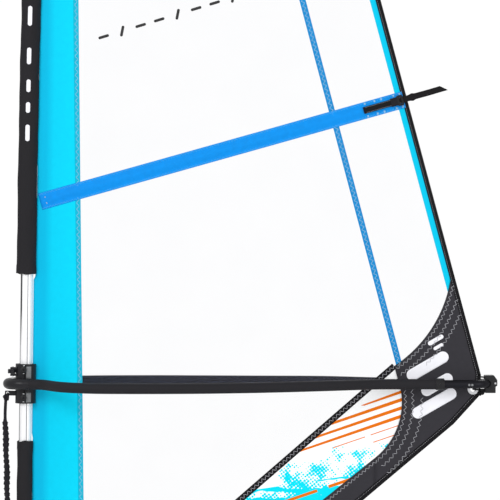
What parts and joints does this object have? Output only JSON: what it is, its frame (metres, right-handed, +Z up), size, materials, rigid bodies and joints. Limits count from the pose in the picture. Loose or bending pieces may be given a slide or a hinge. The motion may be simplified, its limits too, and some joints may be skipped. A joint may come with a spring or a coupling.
{
  "type": "windsurf sail rig",
  "caption": "Beginner windsurf rig: two-piece mast in a sleeved soft sail with battens, wishbone boom with mast clamp and sliding tail, uphaul, pulleys and swivelling mast foot.",
  "frame": {"origin": "centre of the deck pad's underside, on the deck stud's axis", "axes": "+Z up along the mast, which leans aft by 0.68 degrees; +X from the mast to the clew; the batten pockets are on the -Y side"},
  "size_m": [1.487, 0.4308, 3.6544],
  "materials": {
    "mast_alloy": "polished tube",
    "boom_alloy": "dark anodised tube",
    "black_plastic": "moulded, fine grain",
    "clamp_plastic": "moulded, fine grain",
    "sheave_plastic": "smooth acetal",
    "black_webbing": "woven webbing",
    "black_sleeve": "woven polyester sleeve",
    "cyan_cloth": "woven sailcloth",
    "blue_cloth": "woven sailcloth",
    "clear_film": "clear window film",
    "printed_cloth": "white film with a printed pattern",
    "black_patch": "laminated patch",
    "black_tape": "folded edge tape",
    "blue_tape": "stitched seam tape",
    "blue_pocket": "stitched batten pocket",
    "batten_rod": "pultruded fibreglass",
    "bright_steel": "polished stainless steel",
    "soft_rubber": "soft rubber",
    "grip_foam": "fine textured foam grip",
    "black_rope": "braided rope",
    "black_line": "braided line"
  },
  "bodies": {
    "rig": {"mast_lower_tube": "mast_alloy", "mast_upper_tube": "mast_alloy", "mast_ferrule": "mast_alloy", "mast_top_plug": "black_plastic", "corner_straps": "black_webbing", "luff_sleeve_lower": "black_sleeve", "luff_sleeve_upper": "black_sleeve", "luff_panel": "cyan_cloth", "window_front": "clear_film", "window_rear": "clear_film", "leech_strip": "cyan_cloth", "head_panel": "blue_cloth", "leech_tape": "black_tape", "foot_panel": "printed_cloth", "foot_patch": "black_patch", "tack_patch": "black_patch", "clew_patch": "black_patch", "foot_tape": "black_tape", "seam_tapes": "blue_tape", "batten_pockets": "blue_pocket", "battens": "batten_rod", "batten_straps": "black_webbing", "batten_buckles": "black_plastic", "batten_end_caps": "black_plastic", "clew_grommet": "bright_steel", "foot_collar": "black_plastic", "foot_pins": "bright_steel", "uphaul_eye_clip": "black_plastic", "uphaul_hook": "bright_steel", "uphaul_elastic": "black_rope", "tack_block": "black_plastic", "downhaul_line": "black_line"},
    "tack_wheel": {"tack_sheave": "sheave_plastic"},
    "foot_wheel": {"foot_sheave": "sheave_plastic"},
    "swivel": {"joint_upper_yoke": "black_plastic"},
    "spider": {"joint_spider": "bright_steel"},
    "deck": {"joint_lower_yoke": "black_plastic", "deck_plate": "black_plastic", "deck_pad": "soft_rubber", "deck_stud": "bright_steel"},
    "clamp": {"clamp_shell": "clamp_plastic", "clamp_pins": "bright_steel", "clamp_liner": "soft_rubber", "uphaul_rope": "black_rope"},
    "near_jaw": {"clamp_jaw_near": "clamp_plastic"},
    "far_jaw": {"clamp_jaw_far": "clamp_plastic"},
    "lever": {"clamp_lever": "clamp_plastic"},
    "boom": {"boom_arm_near": "boom_alloy", "boom_arm_far": "boom_alloy", "boom_grip_near": "grip_foam", "boom_grip_far": "grip_foam", "boom_collars": "black_plastic", "boom_head": "clamp_plastic"},
    "tail": {"tail_tube": "boom_alloy", "tail_fitting": "black_plastic", "tail_axle": "bright_steel", "outhaul_cleat": "black_plastic", "outhaul_cleat_line": "black_line", "outhaul_clew_line": "black_line"},
    "tail_wheel": {"tail_sheave": "sheave_plastic"}
  },
  "joints": [
    {"name": "boom_height", "type": "slide", "parent": "rig", "child": "clamp", "axis": [0.0119, 0, 0.9999], "range_m": [-0.1, 0.12], "deforming": ["uphaul_elastic"]},
    {"name": "boom_tilt", "type": "hinge", "parent": "clamp", "child": "boom", "pos_m": [0.0165, 0, 1.39], "axis": [0, 1, 0], "range_deg": [-4.6, 5.5]},
    {"name": "tail_slide", "type": "slide", "parent": "boom", "child": "tail", "axis": [1, 0, 0], "range_m": [0, 0.07], "deforming": ["outhaul_clew_line"]},
    {"name": "lever_open", "type": "hinge", "parent": "clamp", "child": "lever", "pos_m": [-0.02107, -0.015, 1.42645], "axis": [0.0119, 0, 0.9999], "range_deg": [0, 110]},
    {"name": "near_jaw_open", "type": "hinge", "parent": "clamp", "child": "near_jaw", "pos_m": [0.0135, -0.0315, 1.39004], "axis": [0.0119, 0, 0.9999], "range_deg": [-8.2, 0]},
    {"name": "far_jaw_open", "type": "hinge", "parent": "clamp", "child": "far_jaw", "pos_m": [0.0135, 0.0315, 1.39004], "axis": [0.0119, 0, 0.9999], "range_deg": [0, 8.2]},
    {"name": "foot_swivel", "type": "hinge", "parent": "rig", "child": "swivel", "pos_m": [0.00085, 0, 0.07199], "axis": [0.0119, 0, 0.9999], "continuous": true},
    {"name": "foot_roll", "type": "hinge", "parent": "swivel", "child": "spider", "pos_m": [0.00085, 0, 0.07199], "axis": [0.9999, 0, -0.0119], "range_deg": [-50, 50]},
    {"name": "foot_pitch", "type": "hinge", "parent": "spider", "child": "deck", "pos_m": [0.00085, 0, 0.07199], "axis": [0, 1, 0], "range_deg": [-50, 50]},
    {"name": "tack_wheel_spin", "type": "hinge", "parent": "rig", "child": "tack_wheel", "pos_m": [0.05, 0, 0.213], "axis": [0, 1, 0], "continuous": true},
    {"name": "foot_wheel_spin", "type": "hinge", "parent": "rig", "child": "foot_wheel", "pos_m": [0.05, 0, 0.135], "axis": [0, 1, 0], "continuous": true},
    {"name": "tail_wheel_spin", "type": "hinge", "parent": "tail", "child": "tail_wheel", "pos_m": [1.423, 0, 1.391], "axis": [0, 1, 0], "continuous": true}
  ],
  "couplings": [
    {"joint": "boom_tilt", "follows": "boom_height", "rad_per_m": 0.7516},
    {"joint": "near_jaw_open", "follows": "lever_open", "ratio": -0.0727},
    {"joint": "far_jaw_open", "follows": "lever_open", "ratio": 0.0727}
  ]
}
